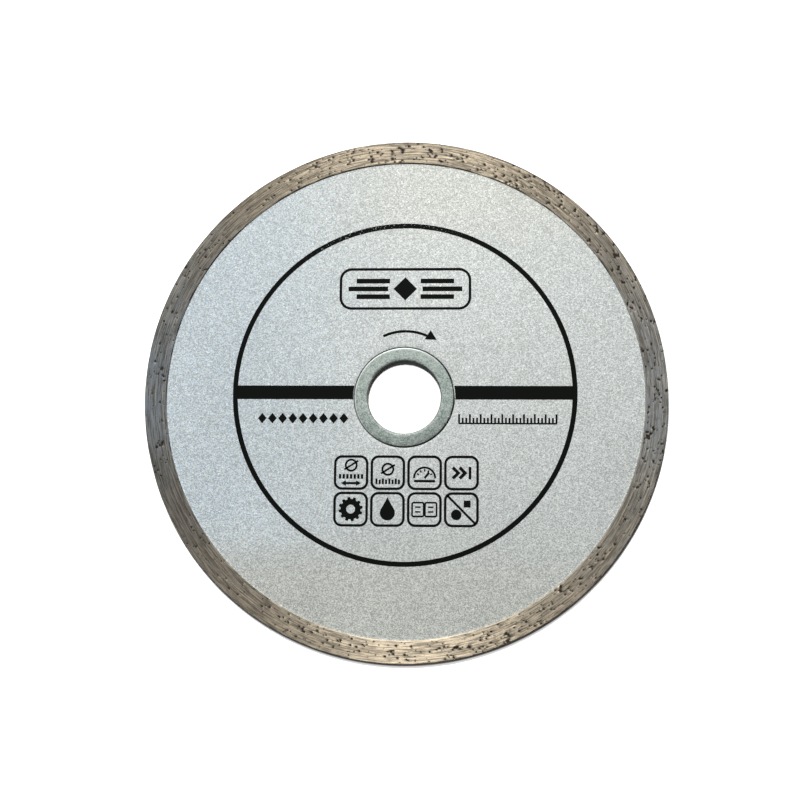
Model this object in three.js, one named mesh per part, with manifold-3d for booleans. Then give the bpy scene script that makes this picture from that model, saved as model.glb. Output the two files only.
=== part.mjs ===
// A 115 mm continuous-rim diamond blade for an angle grinder, in millimetres.
// The blade lies flat with its printed face up: +Z is the arbor axis, +Y is the top of the print,
// and the origin is on the axis in the middle plane of the cut.
//
// Three solids make the blade: a steel core, a sintered diamond rim pressed round the core's
// toothed edge, and a loose ring that reduces the core's bore for a thinner arbor.

import * as THREE from 'three';
import { mergeVertices } from 'three/addons/utils/BufferGeometryUtils.js';
import Module from 'manifold-3d';

// Blade
const BLADE_DIAMETER = 115;
const RIM_THICKNESS = 2.0; // width of the cut
const RIM_HEIGHT = 5.0; // height of rim that shows on each face
const RIM_CHAMFER = 0.2; // broken outer corners of the rim
const RIM_LIP_CHAMFER = 0.1; // broken inner corners, where the rim stands proud of the core

// Core
const CORE_THICKNESS = 1.4;
const CORE_BORE = 22.23;
const CORE_BORE_CHAMFER = 0.15;

// Anchor teeth: dovetail notches round the core's edge, which the sintered metal fills
const ANCHOR_COUNT = 48;
const ANCHOR_EMBED = 2.0; // how far the tooth tips reach under the rim's cheeks
const ANCHOR_DEPTH = 1.4;
const NOTCH_MOUTH_SHARE = 0.4; // of the pitch, open at the tips
const NOTCH_ROOT_SHARE = 0.54; // of the pitch, wider at the root

// Reducing ring
const RING_BORE = 16;
const RING_THICKNESS = 1.4;
const RING_FIT = 0.04; // radial clearance in the core's bore
const RING_OUTER_CHAMFER = 0.25;
const RING_INNER_CHAMFER = 0.2;

const RIM_SEGMENTS = 144;
const BORE_SEGMENTS = 96;

const bladeRadius = BLADE_DIAMETER / 2;
const rimInnerRadius = bladeRadius - RIM_HEIGHT;
const toothTipRadius = rimInnerRadius + ANCHOR_EMBED;
const toothRootRadius = toothTipRadius - ANCHOR_DEPTH;
const coreBoreRadius = CORE_BORE / 2;
const ringOuterRadius = coreBoreRadius - RING_FIT;

const wasm = await Module();
wasm.setup();

// A closed three.js geometry as a manifold-3d solid.
function toSolid(geometry) {
  const bare = geometry.clone();
  bare.deleteAttribute('normal');
  bare.deleteAttribute('uv');
  const merged = mergeVertices(bare, 1e-4);
  return new wasm.Manifold(new wasm.Mesh({
    numProp: 3,
    vertProperties: merged.attributes.position.array,
    triVerts: new Uint32Array(merged.index.array),
  }));
}

// A manifold-3d solid as a three.js geometry with flat faces.
function toGeometry(solid) {
  const mesh = solid.getMesh();
  const indexed = new THREE.BufferGeometry();
  indexed.setAttribute('position', new THREE.BufferAttribute(mesh.vertProperties, 3));
  indexed.setIndex(new THREE.BufferAttribute(mesh.triVerts, 1));
  const flat = indexed.toNonIndexed();
  flat.computeVertexNormals();
  return flat;
}

// Turns a closed outline of [radius, height] points about the Z axis.
function revolve(outline, segments) {
  const points = [...outline, outline[0]].map(([radius, height]) => new THREE.Vector2(radius, height));
  return new THREE.LatheGeometry(points, segments).rotateX(Math.PI / 2);
}

// A rectangular ring section, from the inner to the outer radius, with its corners broken.
function ringSection(innerRadius, outerRadius, thickness, innerChamfer, outerChamfer) {
  const half = thickness / 2;
  return [
    [innerRadius + innerChamfer, -half],
    [outerRadius - outerChamfer, -half],
    [outerRadius, -half + outerChamfer],
    [outerRadius, half - outerChamfer],
    [outerRadius - outerChamfer, half],
    [innerRadius + innerChamfer, half],
    [innerRadius, half - innerChamfer],
    [innerRadius, -half + innerChamfer],
  ];
}

const polar = (radius, angle) => new THREE.Vector2(radius * Math.cos(angle), radius * Math.sin(angle));

// The core's toothed outline, counter-clockwise: each tooth's tip arc, then the notch after it.
function toothedOutline() {
  const pitch = (2 * Math.PI) / ANCHOR_COUNT;
  const tipHalf = (pitch * (1 - NOTCH_MOUTH_SHARE)) / 2;
  const rootHalf = (pitch * NOTCH_ROOT_SHARE) / 2;
  const points = [];
  for (let tooth = 0; tooth < ANCHOR_COUNT; tooth++) {
    const middle = tooth * pitch;
    const notch = middle + pitch / 2;
    points.push(
      polar(toothTipRadius, middle - tipHalf),
      polar(toothTipRadius, middle),
      polar(toothTipRadius, middle + tipHalf),
      polar(toothRootRadius, notch - rootHalf),
      polar(toothRootRadius, notch + rootHalf),
    );
  }
  return points;
}

// The blank that the core is punched from: the toothed disc, as thick as the core, with no bore.
function toothedBlank() {
  return new THREE.ExtrudeGeometry(new THREE.Shape(toothedOutline()), {
    depth: CORE_THICKNESS,
    bevelEnabled: false,
  }).translate(0, 0, -CORE_THICKNESS / 2);
}

// The tool that cuts the bore and breaks both of its edges. Its two cones run on past the core's
// faces, so that they cut cleanly through them.
function boreCutter() {
  const half = CORE_THICKNESS / 2;
  const coneRadius = coreBoreRadius + 2 * CORE_BORE_CHAMFER;
  return revolve([
    [0, -half - CORE_BORE_CHAMFER],
    [coneRadius, -half - CORE_BORE_CHAMFER],
    [coreBoreRadius, -half + CORE_BORE_CHAMFER],
    [coreBoreRadius, half - CORE_BORE_CHAMFER],
    [coneRadius, half + CORE_BORE_CHAMFER],
    [0, half + CORE_BORE_CHAMFER],
  ], BORE_SEGMENTS);
}

function coreMesh() {
  const solid = toSolid(toothedBlank()).subtract(toSolid(boreCutter()));
  const silverPaint = new THREE.MeshStandardMaterial({ color: 0xc3c9c9, roughness: 0.42, metalness: 0.6 });
  const mesh = new THREE.Mesh(toGeometry(solid), silverPaint);
  mesh.name = 'steel_core';
  return mesh;
}

function rimMesh() {
  const section = ringSection(rimInnerRadius, bladeRadius, RIM_THICKNESS, RIM_LIP_CHAMFER, RIM_CHAMFER);
  const solid = toSolid(revolve(section, RIM_SEGMENTS)).subtract(toSolid(toothedBlank()));
  const sinteredBond = new THREE.MeshStandardMaterial({ color: 0x8f8677, roughness: 0.45, metalness: 0.85 });
  const mesh = new THREE.Mesh(toGeometry(solid), sinteredBond);
  mesh.name = 'diamond_rim';
  return mesh;
}

function ringMesh() {
  const section = ringSection(
    RING_BORE / 2, ringOuterRadius, RING_THICKNESS, RING_INNER_CHAMFER, RING_OUTER_CHAMFER,
  );
  const zincPlate = new THREE.MeshStandardMaterial({ color: 0x9fa8a3, roughness: 0.4, metalness: 0.8 });
  const mesh = new THREE.Mesh(revolve(section, BORE_SEGMENTS), zincPlate);
  mesh.name = 'reducing_ring';
  return mesh;
}

const blade = new THREE.Group();
blade.add(coreMesh(), rimMesh(), ringMesh());

export default blade;
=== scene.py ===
import math

import bpy
import numpy as np
from mathutils import Matrix, Vector


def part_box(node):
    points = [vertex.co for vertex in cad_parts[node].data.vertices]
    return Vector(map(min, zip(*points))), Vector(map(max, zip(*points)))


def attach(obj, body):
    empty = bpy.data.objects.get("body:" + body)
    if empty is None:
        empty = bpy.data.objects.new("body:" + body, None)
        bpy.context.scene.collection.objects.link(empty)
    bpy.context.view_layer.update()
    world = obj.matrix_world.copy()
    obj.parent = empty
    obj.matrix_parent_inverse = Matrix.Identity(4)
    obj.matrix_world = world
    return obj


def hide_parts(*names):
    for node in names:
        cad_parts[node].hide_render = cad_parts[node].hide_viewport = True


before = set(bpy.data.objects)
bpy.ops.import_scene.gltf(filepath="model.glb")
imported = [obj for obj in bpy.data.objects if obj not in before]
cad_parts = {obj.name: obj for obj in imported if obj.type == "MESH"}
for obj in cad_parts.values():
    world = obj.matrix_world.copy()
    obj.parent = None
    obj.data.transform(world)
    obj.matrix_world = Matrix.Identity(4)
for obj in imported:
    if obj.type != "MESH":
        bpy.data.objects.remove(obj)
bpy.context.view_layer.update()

# A 115 mm continuous-rim diamond blade lying on a pale floor, printed face up.
# Dimensions here are in millimetres and become metres when a mesh is made.
MM = 0.001

BLADE = "blade"
REDUCER = "bore_reducer"


def size_of(node):
    """(outer radius, half thickness) of a round CAD node, in millimetres."""
    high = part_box(node)[1]
    return high.x / MM, high.z / MM


RIM_RADIUS, RIM_HALF = size_of("diamond_rim")
RING_RADIUS, RING_HALF = size_of("reducing_ring")
CORE_HALF = size_of("steel_core")[1]
RIM_INNER = RIM_RADIUS - 5.0  # the rim shows 5 mm high on each face
CORE_BORE_RADIUS = 22.23 / 2
RING_BORE_RADIUS = 16.0 / 2


# ---------------------------------------------------------------- mesh helpers

def make_piece(name, points, faces, body, material, sharp_degrees=40):
    """A mesh object from points in millimetres, riding on a body."""
    mesh = bpy.data.meshes.new(name)
    mesh.from_pydata((np.asarray(points) * MM).tolist(), [], faces)
    mesh.validate()
    mesh.materials.append(material)
    mesh.shade_smooth()
    mesh.set_sharp_from_angle(angle=math.radians(sharp_degrees))
    piece = bpy.data.objects.new(name, mesh)
    bpy.context.scene.collection.objects.link(piece)
    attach(piece, body)
    return piece


def revolve(radius, height):
    """Points and faces of a closed ring from arrays of radius and height, one row for each point of
    the outline and one column for each step round the Z axis."""
    rows, columns = radius.shape
    angle = np.linspace(0, 2 * np.pi, columns, endpoint=False)
    points = np.stack([radius * np.cos(angle), radius * np.sin(angle), height], axis=2)
    row, column = np.meshgrid(np.arange(rows), np.arange(columns), indexing="ij")
    next_row, next_column = (row + 1) % rows, (column + 1) % columns
    corners = [(row, column), (row, next_column), (next_row, next_column), (next_row, column)]
    faces = np.stack([r * columns + c for r, c in corners], axis=2).reshape(-1, 4)
    return points.reshape(-1, 3), faces.tolist()


def ring_noise(random, rows, columns, along, across):
    """Smooth random relief round a ring, about -2 to 2, with bumps `along` columns long and
    `across` rows wide."""
    field = random.standard_normal((rows, columns))
    for axis, width in ((1, along), (0, across)):
        wave = np.fft.fftfreq(field.shape[axis])
        softening = np.expand_dims(np.exp(-2 * (np.pi * wave * width) ** 2), 1 - axis)
        field = np.fft.ifft(np.fft.fft(field, axis=axis) * softening, axis=axis).real
    return field / field.std()


def corner(centre, radius, start, end, steps):
    """Points on a rounded corner, from one angle to another in degrees."""
    angles = np.radians(np.linspace(start, end, steps))
    return [(centre[0] + radius * math.cos(a), centre[1] + radius * math.sin(a)) for a in angles]


# ---------------------------------------------------------------- material helpers

class Shader:
    """A material's node tree, built one node at a time."""

    def __init__(self, name):
        self.material = bpy.data.materials.new(name)
        self.material.use_nodes = True
        self.tree = self.material.node_tree
        self.surface = self.tree.nodes["Principled BSDF"]
        self.object_space = self.node("ShaderNodeTexCoord").outputs["Object"]

    def node(self, kind, settings=None, **inputs):
        """A new node. Inputs are numbers, colours or the sockets that feed them."""
        made = self.tree.nodes.new(kind)
        for key, value in (settings or {}).items():
            setattr(made, key, value)
        for key, value in inputs.items():
            socket = made.inputs[int(key[1:])] if key[0] == "_" else made.inputs[key.replace("_", " ")]
            self.feed(socket, value)
        return made

    def feed(self, socket, value):
        """Gives an input a number or a colour, or links it to a socket."""
        if isinstance(value, bpy.types.NodeSocket):
            self.tree.links.new(value, socket)
        else:
            socket.default_value = value

    def math(self, operation, first, second=0.0):
        """The result of a math node."""
        return self.node("ShaderNodeMath", {"operation": operation}, _0=first, _1=second).outputs[0]

    def product(self, first, *others):
        """The values multiplied together."""
        for other in others:
            first = self.math("MULTIPLY", first, other)
        return first

    def vector(self, operation, first, second=(0.0, 0.0, 0.0)):
        """The result of a vector math node."""
        made = self.node("ShaderNodeVectorMath", {"operation": operation}, _0=first, _1=second)
        return made.outputs[0]

    def scaled(self, vector, factor):
        """The vector multiplied by a number."""
        return self.vector("MULTIPLY", vector, (factor,) * 3)

    def noise(self, size_mm, detail=2.0, rough=0.5):
        """Noise from 0 to 1 with features about size_mm wide."""
        return self.noise_at(self.object_space, detail, rough, 1 / (size_mm * MM))

    def noise_at(self, place, detail=2.0, rough=0.5, scale=1.0):
        """Noise from 0 to 1 at the coordinates `place`."""
        made = self.node("ShaderNodeTexNoise", Vector=place, Scale=scale, Detail=detail, Roughness=rough)
        return made.outputs["Fac"]

    def cells(self, size_mm):
        """A random number for each cell of a grain about size_mm wide."""
        made = self.node("ShaderNodeTexVoronoi", Vector=self.object_space, Scale=1 / (size_mm * MM))
        return self.node("ShaderNodeSeparateColor", Color=made.outputs["Color"]).outputs[0]

    def pores(self, pitch_mm, rare, radius_mm):
        """1 inside small roundish pores and 0 outside: the share `rare` of the cells has none, and
        the others have one of up to radius_mm."""
        reach = 0.35 * MM  # how far their outlines wander from round
        wobble = self.node("ShaderNodeTexNoise", Vector=self.object_space, Scale=1 / reach).outputs["Color"]
        place = self.vector("ADD", self.object_space, self.scaled(wobble, reach))
        cells = self.node("ShaderNodeTexVoronoi", Vector=place, Scale=1 / (pitch_mm * MM))
        chance = self.node("ShaderNodeSeparateColor", Color=cells.outputs["Color"]).outputs[1]
        radius = self.ramp(chance, rare, 1.0, -0.05, radius_mm / pitch_mm)
        inside = self.math("SUBTRACT", radius, cells.outputs["Distance"])
        return self.ramp(inside, 0.0, 0.05)

    def ramp(self, value, low, high, to_low=0.0, to_high=1.0):
        """A smooth step from to_low to to_high as the value goes from low to high."""
        made = self.node(
            "ShaderNodeMapRange",
            {"interpolation_type": "SMOOTHSTEP"},
            Value=value,
            _1=low,
            _2=high,
            _3=to_low,
            _4=to_high,
        )
        return made.outputs[0]

    def blend(self, kind, share, first, second):
        """Two colours combined by one of the mix node's blend types."""
        made = self.node("ShaderNodeMix", {"data_type": "RGBA", "blend_type": kind})
        colours = [socket for socket in made.inputs if socket.type == "RGBA"]
        for socket, value in zip([made.inputs["Factor"], *colours], (share, first, second)):
            self.feed(socket, value)
        return next(socket for socket in made.outputs if socket.type == "RGBA")

    def mix(self, share, first, second):
        """A colour from the first to the second as share goes from 0 to 1."""
        return self.blend("MIX", share, first, second)

    def tint(self, colour, value):
        """The colour made lighter or darker by a factor."""
        grey = self.node("ShaderNodeCombineColor", Red=value, Green=value, Blue=value).outputs[0]
        return self.blend("MULTIPLY", 1.0, colour, grey)

    def bump(self, height, depth_mm, strength=1.0, under=None):
        """A normal roughened by a height, over another normal if one is given."""
        made = self.node("ShaderNodeBump", Height=height, Distance=depth_mm * MM, Strength=strength)
        if under is not None:
            self.feed(made.inputs["Normal"], under)
        return made.outputs[0]

    def set(self, **inputs):
        """Numbers, colours or sockets for the inputs of the surface shader."""
        for key, value in inputs.items():
            self.feed(self.surface.inputs[key.replace("_", " ")], value)

    def towards(self, degrees):
        """Distance from the Z axis in a direction, anticlockwise from +X, in blade radii."""
        a = math.radians(degrees)
        made = self.node(
            "ShaderNodeVectorMath",
            {"operation": "DOT_PRODUCT"},
            _0=self.object_space,
            _1=(math.cos(a) / (RIM_RADIUS * MM), math.sin(a) / (RIM_RADIUS * MM), 0.0),
        )
        return made.outputs["Value"]

    def distance_from_axis(self):
        """Distance from the Z axis, in metres."""
        flat = self.vector("MULTIPLY", self.object_space, (1.0, 1.0, 0.0))
        return self.node("ShaderNodeVectorMath", {"operation": "LENGTH"}, _0=flat).outputs["Value"]

    def round_axis(self, streak_mm, width_mm):
        """Coordinates that follow circles about the Z axis, so that noise makes streaks streak_mm
        long and width_mm wide, with no seam."""
        flat = self.vector("MULTIPLY", self.object_space, (1.0, 1.0, 0.0))
        length = self.distance_from_axis()
        height = self.node("ShaderNodeSeparateXYZ", Vector=self.object_space).outputs[2]
        direction = self.vector("NORMALIZE", flat)
        turned = self.scaled(direction, RIM_RADIUS / streak_mm)
        across = self.math("MULTIPLY", self.math("ADD", length, height), 1 / (width_mm * MM))
        lifted = self.node("ShaderNodeCombineXYZ", X=0.0, Y=0.0, Z=across).outputs[0]
        return self.vector("ADD", turned, lifted)


def rgb(red, green, blue):
    """An opaque colour for a shader socket."""
    return (red, green, blue, 1.0)


# ---------------------------------------------------------------- materials

# The slow changes of tone across the paint, the rim and the ring stand in for reflections of a room
# that isn't modelled. They are fixed to the blade, so they turn with it and stay in every view.

PAINT_MIDDLE = rgb(0.317, 0.344, 0.345)
PAINT_TOP_AND_BOTTOM = rgb(0.318, 0.332, 0.314)
PAINT_LEFT = rgb(0.285, 0.340, 0.380)
WARM_FLAKE = rgb(0.320, 0.324, 0.308)
FLAKE_GLINT = rgb(0.9, 0.92, 0.92)

BRONZE = rgb(0.258, 0.246, 0.220)
PALE_BRONZE = rgb(0.285, 0.262, 0.225)
WARM_HIGHLIGHT_BRONZE = rgb(0.315, 0.264, 0.192)
DARK_BRONZE = rgb(0.126, 0.108, 0.081)
BARE_METAL_AND_HIGHLIGHT = rgb(0.47, 0.405, 0.31)
PIT_AND_SHADE = rgb(0.022, 0.019, 0.014)
PORE = rgb(0.020, 0.017, 0.012)

DARK_ZINC, PALE_ZINC = rgb(0.086, 0.108, 0.099), rgb(0.141, 0.160, 0.151)
ZINC_SCRATCH = rgb(0.6, 0.62, 0.58)
PAINTED_SHADE_EDGE, PAINTED_HIGHLIGHT_EDGE = rgb(0.03, 0.035, 0.032), rgb(0.56, 0.59, 0.57)

BLACK, SOFT_BLACK = rgb(0.0018, 0.0024, 0.0020), rgb(0.0036, 0.0046, 0.0038)
CHIPPED_INK = rgb(0.24, 0.26, 0.25)
WHITE = rgb(1.0, 1.0, 1.0)


def silver_paint():
    """Aluminium-flake paint: a fine sparkling grain on a slight orange peel."""
    s = Shader("silver_paint")
    flakes = s.cells(0.20)
    fine = s.cells(0.12)
    grain = s.math("ADD", s.math("MULTIPLY", flakes, 0.6), s.math("MULTIPLY", fine, 0.4))
    # Painted reflections and shade: slow changes of lightness towards the upper left and the lower left, a
    # bluer left side, and less blue towards the top and the bottom
    left, up = s.towards(180), s.towards(90)
    low_left = s.product(s.ramp(left, 0.1, 0.4), s.ramp(up, -0.66, -0.48, 1.0, 0.0))
    level = s.product(
        s.ramp(grain, 0.16, 0.84, 0.62, 1.34),
        s.ramp(s.noise(26, 2.0, 0.55), 0.3, 0.7, 0.975, 1.02),
        s.ramp(s.noise(1.6, 2.0, 0.6), 0.3, 0.7, 0.98, 1.02),
        s.ramp(s.towards(150), 0.15, 0.6, 1.0, 0.92),
        s.ramp(s.towards(215), 0.4, 0.8, 1.0, 1.12),
        s.ramp(low_left, 0.0, 1.0, 1.0, 0.88),
    )
    from_middle = s.ramp(s.math("ABSOLUTE", up), 0.45, 0.8)
    cool = s.product(s.ramp(left, -0.1, 0.75), s.ramp(up, -0.68, -0.42))
    warm = s.ramp(s.cells(0.26), 0.2, 0.8, 0.0, 0.5)
    colour = s.mix(from_middle, PAINT_MIDDLE, PAINT_TOP_AND_BOTTOM)
    colour = s.mix(cool, colour, PAINT_LEFT)
    colour = s.mix(warm, colour, WARM_FLAKE)
    colour = s.tint(colour, level)
    # A few of the aluminium flakes are painted near white: painted glints on real flakes
    colour = s.mix(s.ramp(flakes, 0.965, 1.0, 0.0, 0.22), colour, FLAKE_GLINT)
    normal = s.bump(s.noise(0.45, 2.0, 0.6), 0.05, 0.35)
    s.set(
        Base_Color=colour,
        Roughness=s.ramp(fine, 0.0, 1.0, 0.50, 0.68),
        Metallic=0.3,
        Normal=s.bump(flakes, 0.02, 0.35, normal),
    )
    return s.material


def sintered_bond():
    """Bronze-coloured sintered metal, ground with circular streaks and dark in its pits."""
    s = Shader("sintered_bond")
    wear_and_shade = s.node("ShaderNodeAttribute", {"attribute_name": "wear_and_shade"}).outputs["Fac"]
    long_streaks = s.noise_at(s.round_axis(6.0, 0.25), 2.0, 0.55)
    short_streaks = s.noise_at(s.round_axis(2.2, 0.13), 2.0, 0.6)
    streaks = s.math(
        "ADD", s.math("MULTIPLY", long_streaks, 0.55), s.math("MULTIPLY", short_streaks, 0.45)
    )
    scratch = s.noise_at(s.round_axis(8.0, 0.17), 1.0)
    grain = s.noise(0.22, 2.0, 0.6)
    height = s.math("ABSOLUTE", s.towards(90))

    # Streaks, paler and warmer towards the top and the bottom of the blade: a painted tint for the warm
    # highlights there
    light = s.mix(s.ramp(s.noise(7, 3.0, 0.6), 0.35, 0.65), BRONZE, PALE_BRONZE)
    light = s.mix(s.ramp(height, 0.5, 0.97), light, WARM_HIGHLIGHT_BRONZE)
    colour = s.mix(s.ramp(streaks, 0.42, 0.57), DARK_BRONZE, light)
    colour = s.mix(s.ramp(scratch, 0.58, 0.68, 0.0, 0.7), colour, BARE_METAL_AND_HIGHLIGHT)

    # Slow changes of tone round the rim, for the reflections
    colour = s.tint(colour, s.ramp(s.towards(-53), -1.0, 1.0, 0.88, 1.32))
    colour = s.tint(colour, s.ramp(height, 0.55, 0.97, 1.08, 0.80))
    cool = s.mix(s.ramp(height, 0.05, 0.6, 1.0, 0.0), WHITE, rgb(0.98, 1.09, 1.27))
    colour = s.blend("MULTIPLY", 1.0, colour, cool)
    colour = s.blend("MULTIPLY", s.ramp(s.towards(165), 0.80, 0.94), colour, rgb(1.0, 1.06, 1.14))
    for degrees, start, tone in ((225, 0.70, 0.62), (315, 0.70, 0.84), (60, 0.86, 1.34)):
        colour = s.tint(colour, s.ramp(s.towards(degrees), start, start + 0.2, 1.0, tone))

    # Grain, pits, pores and the polished tails behind the diamonds; the colours of the pits and the tails
    # also paint shade and a highlight on the step down to the core
    pores = s.pores(0.7, 0.62, 0.24)
    crowd = s.ramp(s.noise(11, 1.0), 0.40, 0.58, 0.35, 1.0)
    colour = s.tint(colour, s.ramp(grain, 0.3, 0.7, 0.88, 1.1))
    colour = s.mix(s.ramp(wear_and_shade, 0.02, 0.42, 1.0, 0.0), colour, PIT_AND_SHADE)
    colour = s.mix(s.product(pores, crowd), colour, PORE)
    colour = s.mix(s.ramp(wear_and_shade, 0.55, 1.0, 0.0, 0.7), colour, BARE_METAL_AND_HIGHLIGHT)

    normal = s.bump(streaks, 0.06, 0.75)
    normal = s.bump(grain, 0.03, 0.25, normal)
    s.set(
        Base_Color=colour,
        Roughness=s.math("ADD", s.ramp(streaks, 0.3, 0.7, 0.61, 0.51), s.ramp(wear_and_shade, 0.0, 0.45, 0.25, 0.0)),
        Metallic=0.65,
        Anisotropic=1.0,
        Anisotropic_Rotation=0.25,
        Tangent=s.node("ShaderNodeTangent", {"direction_type": "RADIAL", "axis": "Z"}).outputs[0],
        Normal=s.bump(s.math("SUBTRACT", 1.0, pores), 0.05, 0.6, normal),
    )
    return s.material


def diamond_crystal():
    """Synthetic diamond grit in its dark pockets: dull brown-black, with smooth faces."""
    s = Shader("diamond_crystal")
    tone = s.noise(0.8, 1.0)
    s.set(
        Base_Color=s.mix(s.ramp(tone, 0.35, 0.7), rgb(0.012, 0.009, 0.005), rgb(0.034, 0.026, 0.014)),
        Roughness=s.ramp(tone, 0.3, 0.7, 0.45, 0.7),
        IOR=1.5,
        Specular_IOR_Level=0.05,
    )
    return s.material


def zinc_plate():
    """Satin zinc plating: grey-green, mottled and lightly scratched."""
    s = Shader("zinc_plate")
    blotch = s.noise(1.9, 4.0, 0.65)
    speck = s.noise(0.3, 3.0, 0.7)
    circles = s.noise_at(s.round_axis(30.0, 0.12), 3.0, 0.6)
    scratch = s.noise_at(s.vector("MULTIPLY", s.object_space, (420.0, 5200.0, 900.0)))
    radius = s.distance_from_axis()
    colour = s.mix(s.ramp(blotch, 0.32, 0.68), DARK_ZINC, PALE_ZINC)
    colour = s.tint(colour, s.ramp(speck, 0.32, 0.68, 0.5, 1.5))
    colour = s.mix(s.ramp(scratch, 0.70, 0.78, 0.0, 0.6), colour, ZINC_SCRATCH)

    # The outer edge has a painted highlight on the side towards the light and painted shade on the other,
    # and the bore wall has painted shade
    edge = s.ramp(radius, (RING_RADIUS - 0.42) * MM, (RING_RADIUS - 0.2) * MM, 0.0, 0.8)
    colour = s.mix(edge, colour, s.mix(s.ramp(s.towards(140), -0.10, 0.10), PAINTED_SHADE_EDGE, PAINTED_HIGHLIGHT_EDGE))
    bore_wall, bore_edge = (RING_BORE_RADIUS + 0.04) * MM, (RING_BORE_RADIUS + 0.12) * MM
    colour = s.tint(colour, s.ramp(radius, bore_wall, bore_edge, 0.12, 1.0))
    # Painted light and shade: lighter towards the bottom, darker towards the top and towards the lower
    # right
    colour = s.tint(colour, s.ramp(s.towards(90), -0.05, 0.19, 1.12, 0.86))
    colour = s.tint(colour, s.ramp(s.towards(300), 0.10, 0.19, 1.0, 0.78))

    normal = s.bump(circles, 0.02, 0.3)
    s.set(
        Base_Color=colour,
        Roughness=s.math("ADD", s.ramp(blotch, 0.3, 0.7, 0.41, 0.50), s.ramp(speck, 0.3, 0.7, -0.04, 0.05)),
        Metallic=0.7,
        Normal=s.bump(speck, 0.03, 0.3, normal),
    )
    return s.material


def black_ink():
    """Screen-printed ink: near black, following the paint's texture, and chipped where the top of
    the printed circle is worn."""
    s = Shader("black_ink")
    grain = s.noise(0.16, 2.0, 0.6)
    worn = s.ramp(s.towards(98), 0.58, 0.64)
    chips = s.product(s.ramp(s.noise(0.3), 0.64, 0.68), worn)
    colour = s.mix(s.ramp(grain, 0.3, 0.75), BLACK, SOFT_BLACK)
    s.set(
        Base_Color=s.mix(chips, colour, CHIPPED_INK),
        Roughness=s.ramp(grain, 0.3, 0.7, 0.55, 0.68),
        Specular_IOR_Level=0.024,
        Normal=s.bump(s.noise(0.45, 2.0, 0.6), 0.04, 0.3),
    )
    return s.material


def floor_paper():
    """White studio paper with painted light: it glows from just outside the blade, which keeps the blade's
    shadow narrow, and more so farther off, which keeps it pale to the horizon."""
    s = Shader("floor_paper")
    radius = s.distance_from_axis()
    near = s.ramp(radius, (RIM_RADIUS + 0.3) * MM, (RIM_RADIUS + 0.65) * MM, 0.0, 0.62)
    far = s.ramp(radius, 0.12, 0.36, 0.0, 0.33)
    s.set(
        Base_Color=s.mix(s.noise(30, 2.0), rgb(0.84, 0.84, 0.84), rgb(0.86, 0.86, 0.86)),
        Roughness=0.9,
        Specular_IOR_Level=0.2,
        Normal=s.bump(s.noise(0.5), 0.02, 0.1),
        Emission_Color=WHITE,
        Emission_Strength=s.math("ADD", near, far),
    )
    return s.material


PAINT = silver_paint()
BOND = sintered_bond()
CRYSTAL = diamond_crystal()
ZINC = zinc_plate()
INK = black_ink()


# ---------------------------------------------------------------- sintered rim

RIM_COLUMNS = 1320
FACE_ROWS = 25
FACE_LEVEL = RIM_HALF - 0.038  # the ground faces, a little below the highest grains
WALL_RADIUS = RIM_RADIUS - 0.06
SLOT_RADIUS = RIM_INNER + 0.5  # how deep the core's edge sits in the rim
LIP_RADIUS = RIM_INNER + 0.03
SLOT_LEVEL = CORE_HALF + 0.003


def rim_outline():
    """The rim's section from the middle of its slot, round the top half and the bottom half: radius,
    height, how much each point moves with the surface relief, and the way it moves."""
    face = [(r, FACE_LEVEL) for r in np.linspace(RIM_INNER + 0.32, RIM_RADIUS - 0.42, FACE_ROWS)]
    lip = [(LIP_RADIUS, SLOT_LEVEL), (LIP_RADIUS, 0.86), (LIP_RADIUS + 0.04, 0.925)]
    lip.append((LIP_RADIUS + 0.14, FACE_LEVEL))
    edge = corner((WALL_RADIUS - 0.14, FACE_LEVEL - 0.14), 0.14, 75, 0, 4)
    wall = [(WALL_RADIUS, z) for z in (0.52, 0.34, 0.17)]
    top = [(SLOT_RADIUS, SLOT_LEVEL), *lip, *face, *edge, *wall]
    bottom = [(r, -z) for r, z in reversed(top)]
    points = np.array(top + [(WALL_RADIUS, 0.0)] + bottom)
    side = np.sign(points[:, 1])
    out = np.zeros((len(points), 2))
    weight = np.zeros(len(points))
    for i, (r, z) in enumerate(points):
        if r > WALL_RADIUS - 0.01:  # the cutting edge
            out[i], weight[i] = (1, 0), 1
        elif r > RIM_RADIUS - 0.35:  # its rounded corners
            out[i], weight[i] = (0.7, 0.7 * side[i]), 1
        elif abs(z) > 0.9:  # the ground faces, and the top of the step down to the core
            out[i], weight[i] = (0, side[i]), 1 if abs(z) > FACE_LEVEL - 0.01 else 0.3
    return points, out, weight


FACE_GRAINS = 700  # on each face
EDGE_GRAINS = 420
CLUSTER_SHARE = 0.16  # of the places with a grain, some have up to three more beside it
USUAL_CROWD = 0.34  # the chance that a place gets a grain, away from the stretches below

# Where the rim shows more or fewer grains: degrees, spread in radians, and how many more or fewer
CROWDED = ((62, 0.75, 0.62), (292, 0.85, 0.4), (357, 0.25, 0.4))
BARE = (212, 0.42, 0.9)


def nearness(angle, degrees, spread):
    """1 in a direction, falling smoothly to 0 away from it."""
    return math.exp(-((math.remainder(angle - math.radians(degrees), 2 * math.pi) / spread) ** 2))


def crowding(angle):
    """How many grains a stretch of the rim shows, from 0 to 1."""
    more = sum(share * nearness(angle, degrees, spread) for degrees, spread, share in CROWDED)
    degrees, spread, fewer = BARE
    return min(1.0, USUAL_CROWD + more) * (1 - fewer * nearness(angle, degrees, spread))


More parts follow.
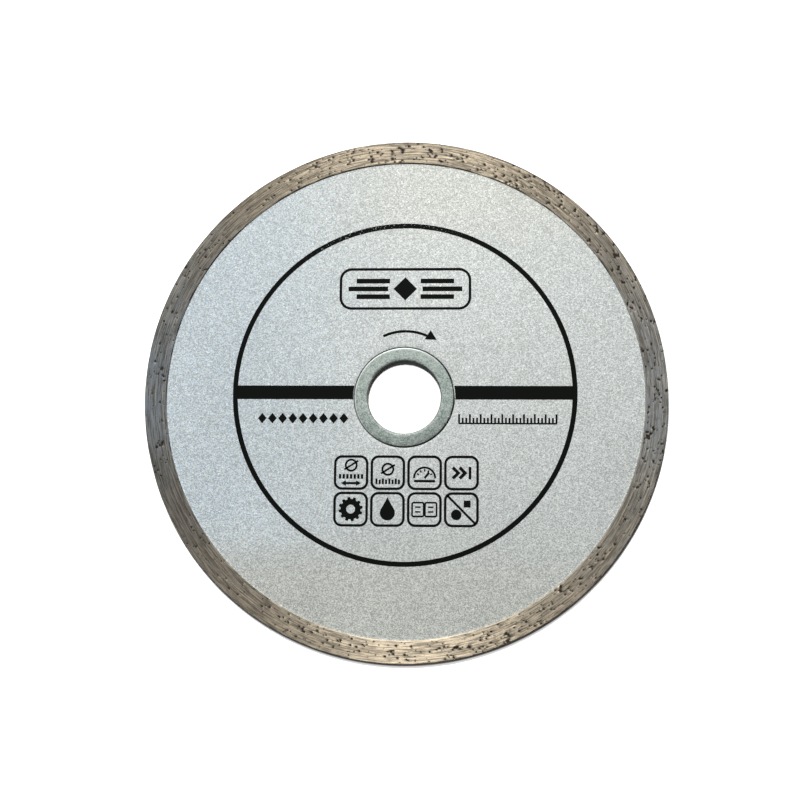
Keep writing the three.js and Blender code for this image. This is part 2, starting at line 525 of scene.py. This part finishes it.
def scatter_grit(random):
    """Grains of diamond as (side, angle, place, size). On a face, side is 1 or -1 and place is the
    radius; on the cutting edge, side is 0 and place is the height."""
    grains = []

    def add(side, count, low, high):
        total = len(grains) + count
        while len(grains) < total:
            angle = random.uniform(0, 2 * math.pi)
            if random.uniform() > crowding(-angle if side < 0 else angle):
                continue
            place = random.uniform(low, high)
            others = random.integers(0, 4)
            cluster = 1 + others if random.uniform() < CLUSTER_SHARE else 1
            for _ in range(cluster):
                size = 0.21 + 0.36 * random.uniform() ** 2
                grains.append((side, angle, min(max(place, low), high), size))
                angle += random.normal(0, 0.8) / RIM_RADIUS
                place += random.normal(0, 0.4)

    add(1, FACE_GRAINS, RIM_INNER + 0.35, RIM_RADIUS - 0.3)
    add(-1, FACE_GRAINS, RIM_INNER + 0.35, RIM_RADIUS - 0.3)
    add(0, EDGE_GRAINS, -RIM_HALF + 0.3, RIM_HALF - 0.3)
    return grains


def grain_marks(behind, across, size):
    """The pit that a grain sits in, the polished tail behind it, and the grooves beside its tail, each
    from 0 to 1 over a patch of the surface. Distances from the grain are in millimetres."""
    x, y = np.meshgrid(behind, across)
    length = size * 3.2
    pit = np.exp(-((x + 0.05) / (0.85 * size)) ** 2 - (y / (0.52 * size)) ** 2)
    fade = np.where(x > 0.1, np.exp(-np.maximum(x - 0.1, 0) / length), 0)
    tail = fade * np.exp(-(y / (0.5 * size)) ** 2)
    fade = np.where(x > 0, np.exp(-x / (1.6 * length)), 0)
    groove = fade * np.exp(-((np.abs(y) - 0.95 * size) / (0.35 * size)) ** 2)
    return pit, tail, groove


MARK_REACH = 5.0  # how far along the rim a grain's marks are drawn


def rim_relief(random, points, grains):
    """Height of the ground surface, and for each point of the rim's grid a value from 0 in a pit to 1 on a
    polished tail, which also paints shade and a highlight on the step down to the core."""
    rows = len(points)
    step = 2 * np.pi / RIM_COLUMNS
    angle = np.arange(RIM_COLUMNS) * step
    relief = 0.008 * ring_noise(random, rows, RIM_COLUMNS, 9, 0.7)
    relief += 0.006 * ring_noise(random, rows, RIM_COLUMNS, 2.5, 0.6)
    relief += 0.006 * ring_noise(random, rows, RIM_COLUMNS, 30, 3)
    wear_and_shade = np.full((rows, RIM_COLUMNS), 0.5)
    wear_and_shade += 0.05 * ring_noise(random, rows, RIM_COLUMNS, 12, 0.8)
    radius, height = points[:, 0], points[:, 1]
    reach = int(MARK_REACH / (RIM_RADIUS * step))
    for side, at, place, size in grains:
        if side:
            near_rows = np.where((np.abs(radius - place) < 1.2) & (height * side > 0.85))[0]
            across = radius[near_rows] - place
        else:
            near_rows = np.where((radius > WALL_RADIUS - 0.3) & (np.abs(height - place) < 0.9))[0]
            across = height[near_rows] - place
        centre = int(at / step)
        columns = np.arange(centre - reach, centre + reach) % RIM_COLUMNS
        turn = (angle[columns] - at + np.pi) % (2 * np.pi) - np.pi
        behind = turn * RIM_RADIUS  # the blade turns clockwise, so a grain's tail is anticlockwise of it
        pit, tail, groove = grain_marks(behind, across, size)
        patch = np.ix_(near_rows, columns)
        relief[patch] += -0.035 * pit + 0.016 * tail - 0.018 * groove
        wear_and_shade[patch] += -0.68 * pit + 0.30 * tail - 0.16 * groove
    step_wall = radius < LIP_RADIUS + 0.16
    painted_shade_and_highlight = np.cos(angle - np.radians(112)) + 0.35 * ring_noise(random, 1, RIM_COLUMNS, 4, 0.01)
    wear_and_shade[step_wall] = 0.48 - 0.45 * painted_shade_and_highlight  # painted shade on the side away from the light, a painted highlight on the side towards it
    wear_and_shade[radius > RIM_RADIUS - 0.3] -= 0.14 + 0.14 * np.sin(angle)
    return np.clip(relief, -0.09, 0.035), np.clip(wear_and_shade, 0, 1)


def build_rim(random, grains):
    points, out, weight = rim_outline()
    relief, wear_and_shade = rim_relief(random, points, grains)
    nicks = 0.012 * ring_noise(random, len(points), RIM_COLUMNS, 4, 6)
    edge = np.exp(-((RIM_RADIUS - points[:, 0]) / 0.3) ** 2) * (np.abs(points[:, 1]) > 0.5)
    shift = relief * weight[:, None]
    radius = points[:, 0][:, None] + out[:, 0][:, None] * shift - np.abs(nicks) * edge[:, None]
    height = points[:, 1][:, None] + out[:, 1][:, None] * shift
    grid, faces = revolve(radius, height)
    rim = make_piece("rim_ground_surface", grid, faces, BLADE, BOND, 60)
    attribute = rim.data.attributes.new("wear_and_shade", "FLOAT", "POINT")
    attribute.data.foreach_set("value", wear_and_shade.reshape(-1).astype(np.float32))
    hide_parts("diamond_rim")
    return rim


def crystal_shape():
    """Corners and faces of a cuboctahedron, the habit of synthetic diamond."""
    corners = np.array(
        [p for a in (-1, 1) for b in (-1, 1) for p in ((a, b, 0), (a, 0, b), (0, a, b))], float
    )
    faces = []
    for signs in np.ndindex(2, 2, 2):
        normal = np.array(signs) * 2.0 - 1
        faces.append(face_towards(corners, normal, 2.0))
    for axis in range(3):
        for sign in (-1, 1):
            normal = np.zeros(3)
            normal[axis] = sign
            faces.append(face_towards(corners, normal, 1.0))
    return corners / math.sqrt(2), faces


def face_towards(corners, normal, level):
    """The corners on the plane at that level along the normal, in anticlockwise order."""
    on_plane = [i for i, c in enumerate(corners) if abs(c @ normal - level) < 1e-6]
    middle = corners[on_plane].mean(axis=0)
    first = corners[on_plane[0]] - middle
    second = np.cross(normal, first)

    def turn(i):
        arm = corners[i] - middle
        return math.atan2(arm @ second, arm @ first * np.linalg.norm(normal))

    return sorted(on_plane, key=turn)


def random_turn(random):
    """A random rotation matrix."""
    turned, _ = np.linalg.qr(random.standard_normal((3, 3)))
    return turned * np.sign(np.linalg.det(turned))


def build_grit(random, grains):
    """The grains that break the surface, their tops ground almost level with it."""
    corners, faces = crystal_shape()
    points, all_faces = [], []
    for side, angle, place, size in grains:
        shape = corners * (1 + random.uniform(-0.14, 0.14, (len(corners), 1)))
        shape = shape @ random_turn(random).T * (size / 2) * (1, 1, 0.9)
        stand = random.uniform(-0.06, 0.02)
        if side:
            level = side * (FACE_LEVEL + stand - 0.2 * size)
            shape = shape + np.array([place * math.cos(angle), place * math.sin(angle), level])
            limit = RIM_HALF - 0.002
            shape[:, 2] = np.clip(shape[:, 2], -limit, limit)
        else:
            reach = WALL_RADIUS + stand - 0.2 * size
            shape = shape + np.array([reach * math.cos(angle), reach * math.sin(angle), place])
            flat = np.hypot(shape[:, 0], shape[:, 1])
            shape[:, :2] *= np.minimum(1, (RIM_RADIUS - 0.012) / flat)[:, None]
            shape[:, 2] = np.clip(shape[:, 2], -RIM_HALF + 0.03, RIM_HALF - 0.03)
        start = len(points) * len(corners)
        points.append(shape)
        all_faces.extend([[start + i for i in face] for face in faces])
    return make_piece("diamond_grit", np.concatenate(points), all_faces, BLADE, CRYSTAL, 10)


# ---------------------------------------------------------------- painted core

PAINT_LEVEL = CORE_HALF - 0.03
CORE_COLUMNS = 1080
CORE_ROUNDING = 0.10  # of the edge of the bore


def build_core(random):
    """The steel disc in its paint, which creeps unevenly up the rim's step on both faces."""
    edge, face = RIM_INNER, PAINT_LEVEL
    bore = corner((CORE_BORE_RADIUS + CORE_ROUNDING, face - CORE_ROUNDING), CORE_ROUNDING, 180, 90, 5)
    flat = [(12.0, face), (30.0, face), (edge - 0.5, face), (edge - 0.1, face)]
    creep = [(edge - 0.03, face + 0.012), (edge - 0.002, face + 0.04)]
    creep += [(edge + 0.004, face + 0.09), (edge + 0.05, face + 0.07)]
    hidden = [(edge + 0.06, 0.60), (edge + 0.45, 0.60)]
    top = [*bore, *flat, *creep, *hidden]
    outline = np.array(top + [(r, -z) for r, z in reversed(top)])
    radius = np.repeat(outline[:, :1], CORE_COLUMNS, axis=1)
    height = np.repeat(outline[:, 1:], CORE_COLUMNS, axis=1)
    climb = 0.028 * ring_noise(random, 2, CORE_COLUMNS, 2.2, 0.01)
    climb += 0.02 * ring_noise(random, 2, CORE_COLUMNS, 12, 0.01)
    for i, z in enumerate(outline[:, 1]):
        if abs(z) > PAINT_LEVEL + 0.05:
            height[i] += np.sign(z) * np.clip(climb[0 if z > 0 else 1], -0.08, 0.07)
    points, faces = revolve(radius, height)
    core = make_piece("painted_core", points, faces, BLADE, PAINT, 35)
    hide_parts("steel_core")
    return core


# ---------------------------------------------------------------- reducing ring

RING_COLUMNS = 480
RING_REST = (-0.03, 0.025)  # the loose ring lies a little to one side of the bore
RING_FALL = 0.04  # how much lower the ring's faces are at their outer edge
RING_INNER_ROUNDING, RING_OUTER_ROUNDING = 0.2, 0.27


def build_ring(random):
    """A turned ring with rounded edges, a little uneven from the plating barrel."""
    inner, outer = RING_BORE_RADIUS + 0.04, RING_RADIUS - 0.07
    inner_centre = (inner + RING_INNER_ROUNDING, RING_HALF - RING_INNER_ROUNDING)
    outer_centre = (outer - RING_OUTER_ROUNDING, RING_HALF - RING_OUTER_ROUNDING - RING_FALL)
    top = [
        (inner, 0.0),
        (inner, 0.3),
        *corner(inner_centre, RING_INNER_ROUNDING, 180, 90, 6),
        (inner + 0.7, RING_HALF - RING_FALL * 0.1),
        (inner + 1.5, RING_HALF - RING_FALL * 0.4),
        (outer - 0.7, RING_HALF - RING_FALL * 0.9),
        *corner(outer_centre, RING_OUTER_ROUNDING, 90, 0, 7),
        (outer, 0.2),
    ]
    outline = np.array(top + [(r, -z) for r, z in reversed(top[1:])])
    radius = np.repeat(outline[:, :1], RING_COLUMNS, axis=1)
    height = np.repeat(outline[:, 1:], RING_COLUMNS, axis=1)
    dents = np.abs(0.006 * ring_noise(random, len(outline), RING_COLUMNS, 7, 1.2))
    radius += np.where(radius < inner + 0.3, dents, -dents) * (np.abs(height) > 0.35)
    height -= np.sign(height) * dents * 0.6
    points, faces = revolve(radius, height)
    points[:, :2] += RING_REST
    ring = make_piece("zinc_ring", points, faces, REDUCER, ZINC, 50)
    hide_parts("reducing_ring")
    return ring


# ---------------------------------------------------------------- print

PRINT_CENTRE = np.array([0.0, 1.0])  # of the large circle
PRINT_TURN = math.radians(-0.5)  # the print sits a little askew
INK_LOW, INK_HIGH = PAINT_LEVEL - 0.01, PAINT_LEVEL + 0.015
INK_EDGE = 0.008  # how far the ink's edges wander
MITRE_LIMIT = 0.35  # stops a line's sharp corners from running out
THIN_LINE = 0.58  # of the panel's frame and the arrow


class Print:
    """Flat ink shapes that become one thin raised piece."""

    def __init__(self, name, random):
        self.name = name
        self.random = random
        self.points = []
        self.faces = []

    def patch(self, points, faces):
        """Adds a flat shape: points in millimetres and anticlockwise faces over them."""
        start = len(self.points)
        self.points.extend((float(x), float(y)) for x, y in points)
        self.faces.extend([start + i for i in face] for face in faces)

    def fill(self, outline):
        """A solid shape from its anticlockwise outline."""
        self.patch(outline, [list(range(len(outline)))])

    def line(self, path, width, closed=False):
        """A line of that width along a path, its corners mitred."""
        path = np.array(path, float)
        before, after = np.roll(path, 1, axis=0), np.roll(path, -1, axis=0)
        if not closed:
            before[0], after[-1] = path[0] * 2 - path[1], path[-1] * 2 - path[-2]
        first = (path - before) / np.linalg.norm(path - before, axis=1)[:, None]
        second = (after - path) / np.linalg.norm(after - path, axis=1)[:, None]
        along = first + second
        along /= np.linalg.norm(along, axis=1)[:, None]
        normal = np.stack([-along[:, 1], along[:, 0]], axis=1)
        square = np.stack([-first[:, 1], first[:, 0]], axis=1)
        mitre = np.maximum(MITRE_LIMIT, np.abs((normal * square).sum(axis=1)))
        offset = normal * (width / 2 / mitre)[:, None]
        count = len(path)
        links = count if closed else count - 1
        faces = [[i, (i + 1) % count, count + (i + 1) % count, count + i] for i in range(links)]
        self.patch(np.concatenate([path - offset, path + offset]), faces)

    def build(self):
        """The piece: the shapes turned with the rest of the print, given thickness and soft edges."""
        flat = np.array(self.points) + self.random.normal(0, INK_EDGE, (len(self.points), 2))
        cos, sin = math.cos(PRINT_TURN), math.sin(PRINT_TURN)
        flat = (flat - PRINT_CENTRE) @ np.array([[cos, sin], [-sin, cos]]) + PRINT_CENTRE
        count = len(flat)
        low = np.column_stack([flat, np.full(count, INK_LOW)])
        high = np.column_stack([flat, np.full(count, INK_HIGH)])
        sides = {(face[i - 1], face[i]) for face in self.faces for i in range(len(face))}
        faces = [[count + i for i in face] for face in self.faces]
        faces += [face[::-1] for face in self.faces]
        faces += [[a, b, count + b, count + a] for a, b in sorted(sides) if (b, a) not in sides]
        return make_piece(self.name, np.concatenate([low, high]), faces, BLADE, INK, 30)


def circle(centre, radius, steps, start=0.0, end=360.0):
    """Points round a circle, or along an arc of it."""
    whole = abs(end - start) >= 360
    angles = np.radians(np.linspace(start, end, steps, endpoint=not whole))
    return [(centre[0] + radius * math.cos(a), centre[1] + radius * math.sin(a)) for a in angles]


def rounded_box(centre, width, height, radius, steps=7):
    """A rectangle's outline with round corners, anticlockwise."""
    x, y = width / 2 - radius, height / 2 - radius
    path = []
    for sx, sy, start in ((1, 1, 0), (-1, 1, 90), (-1, -1, 180), (1, -1, 270)):
        path += circle((centre[0] + sx * x, centre[1] + sy * y), radius, steps, start, start + 90)
    return path


def moved(points, centre):
    """The points, drawn about a new centre."""
    return [(x + centre[0], y + centre[1]) for x, y in points]


def bar(centre, width, height):
    """A rectangle's outline, anticlockwise."""
    x, y = width / 2, height / 2
    return moved([(-x, -y), (x, -y), (x, y), (-x, y)], centre)


def rhombus(centre, width, height):
    """A rhombus's outline, anticlockwise."""
    x, y = width / 2, height / 2
    return moved([(-x, 0), (0, -y), (x, 0), (0, y)], centre)


BAND_RADIUS = 37.3
BAND_WIDTH = 1.08
BAR_LOW, BAR_HIGH = -0.50, 2.52
BAR_ROWS, BAR_STEPS = 9, 40  # points across and along each bar
BORE_MARGIN = 0.11  # bare paint between the bars and the bore
STRAY_DOT = (-23.8, 19.4)


def build_band(random):
    """The large printed circle and the two bars from it to the bore."""
    ink = Print("print_band", random)
    ink.line(circle(PRINT_CENTRE, BAND_RADIUS, 360), BAND_WIDTH, closed=True)
    heights = np.linspace(BAR_LOW, BAR_HIGH, BAR_ROWS)
    start = np.sqrt((CORE_BORE_RADIUS + BORE_MARGIN) ** 2 - heights ** 2)
    reach = BAND_RADIUS - BAND_WIDTH / 2 + 0.04
    end = np.sqrt(reach ** 2 - (heights - PRINT_CENTRE[1]) ** 2)
    for side in (-1, 1):
        steps = np.linspace(0, 1, BAR_STEPS)
        grid = [(side * (a + (b - a) * t), y) for t in steps for a, b, y in zip(start, end, heights)]
        faces = []
        for i in range(BAR_STEPS - 1):
            for j in range(BAR_ROWS - 1):
                near, far = i * BAR_ROWS + j, (i + 1) * BAR_ROWS + j
                face = [near, far, far + 1, near + 1]
                faces.append(face if side > 0 else face[::-1])
        ink.patch(grid, faces)
    ink.fill(circle(STRAY_DOT, 0.16, 8))
    return ink.build()


PANEL_MIDDLE = (0.0, 24.1)
PANEL_WIDTH, PANEL_HEIGHT, PANEL_ROUNDING = 28.6, 8.8, 2.4
PANEL_BARS = ((-1.75, 3.4, 7.4), (0.0, 3.8, 8.8), (1.75, 3.4, 7.4))  # row, start and length


def build_panel(random):
    """A plain panel above the bore: a rounded frame round a rhombus between bars."""
    ink = Print("print_panel", random)
    outline = rounded_box(PANEL_MIDDLE, PANEL_WIDTH, PANEL_HEIGHT, PANEL_ROUNDING)
    ink.line(outline, THIN_LINE, closed=True)
    ink.fill(rhombus(PANEL_MIDDLE, 5.2, 5.2))
    for side in (-1, 1):
        for row, near, length in PANEL_BARS:
            ink.fill(bar((side * (near + length / 2), PANEL_MIDDLE[1] + row), length, 1.05))
    return ink.build()


def build_arrow(random):
    """The curved arrow that shows which way the blade turns."""
    ink = Print("print_arrow", random)
    shaft = circle((0.2, 3.1), 11.5, 30, 115.5, 66)
    head = [(4.35, 12.8), (7.05, 12.7), (5.7, 14.85)]
    ink.line(shaft, THIN_LINE)
    ink.fill(head)
    return ink.build()


RHOMBI = 9
RHOMBI_START, RHOMBI_PITCH = (-31.2, -4.7), 2.25
SCALE_LEFT, SCALE_RIGHT, SCALE_FOOT = 11.9, 33.4, -5.75
SCALE_TICKS = 28
SCALE_INSET = 0.15  # from the base line's ends to the outer ticks, and up to the feet of all ticks


def build_side_marks(random):
    """Two plain ornaments beside the bore: a row of small rhombi, and a fine scale."""
    ink = Print("print_side_marks", random)
    for i in range(RHOMBI):
        ink.fill(rhombus((RHOMBI_START[0] + i * RHOMBI_PITCH, RHOMBI_START[1]), 1.95, 2.35))
    ink.fill(bar(((SCALE_LEFT + SCALE_RIGHT) / 2, SCALE_FOOT), SCALE_RIGHT - SCALE_LEFT, 0.34))
    pitch = (SCALE_RIGHT - SCALE_LEFT - 2 * SCALE_INSET) / (SCALE_TICKS - 1)
    for i in range(SCALE_TICKS):
        tall = 1.9 if i % 3 == 0 else 1.1
        place = (SCALE_LEFT + SCALE_INSET + i * pitch, SCALE_FOOT + SCALE_INSET + tall / 2)
        ink.fill(bar(place, 0.42, tall))
    return ink.build()


BOX_SIZE, BOX_ROUNDING, BOX_LINE = 7.0, 1.5, 0.56
BOX_LEFT, BOX_PITCH = -11.42, 8.02  # the first box's middle, and the step to the next
BOX_TOP_ROW, BOX_LOW_ROW = -16.55, -24.5


def diameter_sign(ink, centre):
    """A circle crossed by a slanting line."""
    ink.line(circle(centre, 1.2, 28), 0.44, closed=True)
    ink.line(moved([(-1.5, -0.95), (0, 0), (1.55, 0.98)], centre), 0.42)


def draw_size(ink, centre):
    """A diameter sign over a row of ticks and a dimension line."""
    x, y = centre
    diameter_sign(ink, (x, y + 1.6))
    for i in range(7):
        ink.fill(bar((x - 2.4 + i * 0.8, y - 0.85), 0.52, 1.0))
    ink.fill(bar((x, y - 2.3), 2.2, 0.5))
    for side in (-1, 1):
        tip = [(side * 2.2, 0), (side * 1.1, 0.62), (side * 1.1, -0.62)]
        ink.fill(moved(tip if side > 0 else tip[::-1], (x, y - 2.3)))


def draw_bore(ink, centre):
    """A diameter sign over a row of ticks."""
    x, y = centre
    diameter_sign(ink, (x, y + 0.75))
    for i in range(8):
        tall = 1.0 if i % 2 else 1.25
        ink.fill(bar((x - 2.45 + i * 0.7, y - 2.5 + tall / 2), 0.46, tall))


def draw_dial(ink, centre):
    """A dial with its needle."""
    hub = np.array(centre) - (0.0, 1.15)
    ink.line(circle(hub, 2.3, 24, 180, 0), 0.44)
    for angle in (30, 60, 90, 120, 150):
        ink.line([circle(hub, radius, 1, angle)[0] for radius in (1.4, 1.95)], 0.32)
    ink.line([hub, hub + (1.0, 1.25)], 0.5)
    ink.fill(bar(hub - (0.0, 0.65), 4.6, 0.55))


def draw_chevrons(ink, centre):
    """Two chevrons and a bar."""
    x, y = centre
    for dx in (-1.4, 0.1):
        ink.line([(x + dx - 0.5, y + 1.2), (x + dx + 0.7, y), (x + dx - 0.5, y - 1.2)], 0.7)
    ink.fill(bar((x + 1.85, y), 0.6, 2.7))


def draw_wheel(ink, centre):
    """A toothed wheel with an open middle."""
    outer, inner = [], []
    for tooth in range(12):
        for angle, radius in ((0, 2.2), (4, 2.65), (16, 2.65), (20, 2.2)):
            outer += circle(centre, radius, 1, tooth * 30 + angle)
            inner += circle(centre, 0.95, 1, tooth * 30 + angle)
    count = len(outer)
    links = [[count + i, i, (i + 1) % count, count + (i + 1) % count] for i in range(count)]
    ink.patch(outer + inner, links)


def draw_drop(ink, centre):
    """A drop of water."""
    round_part = circle((0, -0.75), 1.65, 21, 155, 385)
    ink.fill(moved([*round_part, (0.45, 1.75), (0.0, 2.65), (-0.45, 1.75)], centre))


def draw_tiles(ink, centre):
    """Two wall tiles side by side, with plain bars in them."""
    x, y = centre
    for side in (-1, 1):
        ink.line(rounded_box((x + side * 1.4, y), 2.5, 3.0, 0.3, 3), 0.38, closed=True)
        for row in (-0.5, 0.5):
            ink.fill(bar((x + side * 1.4, y + row), 1.2, 0.34))


def draw_split(ink, centre):
    """A slanting line between a disc and a square."""
    ink.line(moved([(-3.1, 3.1), (0, 0), (3.1, -3.1)], centre), 0.5)
    ink.fill(moved(circle((-1.1, -1.1), 1.15, 20), centre))
    ink.fill(moved(bar((1.25, 1.25), 1.5, 1.5), centre))


def build_boxes(random):
    """Two rows of four boxes with plain marks in them."""
    ink = Print("print_boxes", random)
    rows = (
        (BOX_TOP_ROW, (draw_size, draw_bore, draw_dial, draw_chevrons)),
        (BOX_LOW_ROW, (draw_wheel, draw_drop, draw_tiles, draw_split)),
    )
    for y, drawings in rows:
        for i, draw in enumerate(drawings):
            centre = (BOX_LEFT + i * BOX_PITCH, y)
            ink.line(rounded_box(centre, BOX_SIZE, BOX_SIZE, BOX_ROUNDING), BOX_LINE, closed=True)
            draw(ink, centre)
    return ink.build()


# ---------------------------------------------------------------- floor, lights and camera

FLOOR_EDGE = 6000.0
FLOOR_LEVEL = -RIM_HALF - 0.02  # just clear of the rim


def build_floor():
    """A wide paper floor under the rim."""
    edge, level = FLOOR_EDGE, FLOOR_LEVEL
    mesh = bpy.data.meshes.new("floor")
    corners = [(-edge, -edge, level), (edge, -edge, level), (edge, edge, level), (-edge, edge, level)]
    mesh.from_pydata([tuple(v * MM for v in c) for c in corners], [], [(0, 1, 2, 3)])
    mesh.materials.append(floor_paper())
    floor = bpy.data.objects.new("floor", mesh)
    bpy.context.scene.collection.objects.link(floor)


def add_light(name, azimuth, elevation, distance, width, power, colour):
    """A square area light aimed at the blade. Azimuth is anticlockwise from +X; lengths are in
    metres."""
    lamp = bpy.data.lights.new(name, "AREA")
    lamp.shape = "RECTANGLE"
    lamp.size, lamp.size_y = width, width
    lamp.energy = power
    lamp.color = colour
    a, e = math.radians(azimuth), math.radians(elevation)
    place = Vector((math.cos(a) * math.cos(e), math.sin(a) * math.cos(e), math.sin(e)))
    light = bpy.data.objects.new(name, lamp)
    light.location = place * distance
    light.rotation_mode = "QUATERNION"
    light.rotation_quaternion = (-place).to_track_quat("-Z", "Y")
    bpy.context.scene.collection.objects.link(light)


WORLD_COLOUR = (1.0, 0.97, 0.94, 1.0)
WORLD_STRENGTH = 0.05


def build_lights():
    """One small light high behind the blade, a faint cool one on its left, and a dim room."""
    add_light("key", azimuth=98, elevation=63, distance=0.95, width=0.14, power=14.2,
              colour=(1.0, 0.99, 0.97))
    add_light("left_fill", azimuth=183, elevation=48, distance=0.45, width=0.3, power=0.06,
              colour=(0.7, 0.85, 1.0))
    world = bpy.data.worlds.new("studio")
    world.use_nodes = True
    background = world.node_tree.nodes["Background"]
    background.inputs["Color"].default_value = WORLD_COLOUR
    background.inputs["Strength"].default_value = WORLD_STRENGTH
    bpy.context.scene.world = world


CAMERA_PLACE = (23.3, -40.4, 346.9)
CAMERA_TARGET = (3.6, 10.5, 0.0)
CAMERA_SENSOR, CAMERA_LENS = 36.0, 71.75
CAMERA_SHIFT = (-0.026, -0.0625)


def build_camera():
    """Nearly straight down, from a little below and right of the blade."""
    place = Vector(CAMERA_PLACE) * MM
    target = Vector(CAMERA_TARGET) * MM
    data = bpy.data.cameras.new("camera")
    data.sensor_width = CAMERA_SENSOR
    data.lens = CAMERA_LENS
    data.shift_x, data.shift_y = CAMERA_SHIFT
    camera = bpy.data.objects.new("camera", data)
    camera.location = place
    ahead = (target - place).normalized()
    right = ahead.cross(Vector((0, 1, 0))).normalized()
    camera.rotation_mode = "QUATERNION"
    camera.rotation_quaternion = Matrix((right, right.cross(ahead), -ahead)).transposed().to_quaternion()
    bpy.context.scene.collection.objects.link(camera)
    bpy.context.scene.camera = camera


random = np.random.default_rng(115)
grains = scatter_grit(random)
build_rim(random, grains)
build_grit(random, grains)
build_core(random)
build_ring(random)
for build in (build_band, build_panel, build_arrow, build_side_marks, build_boxes):
    build(random)
build_floor()
build_lights()
build_camera()
bpy.context.scene.view_settings.view_transform = "Standard"
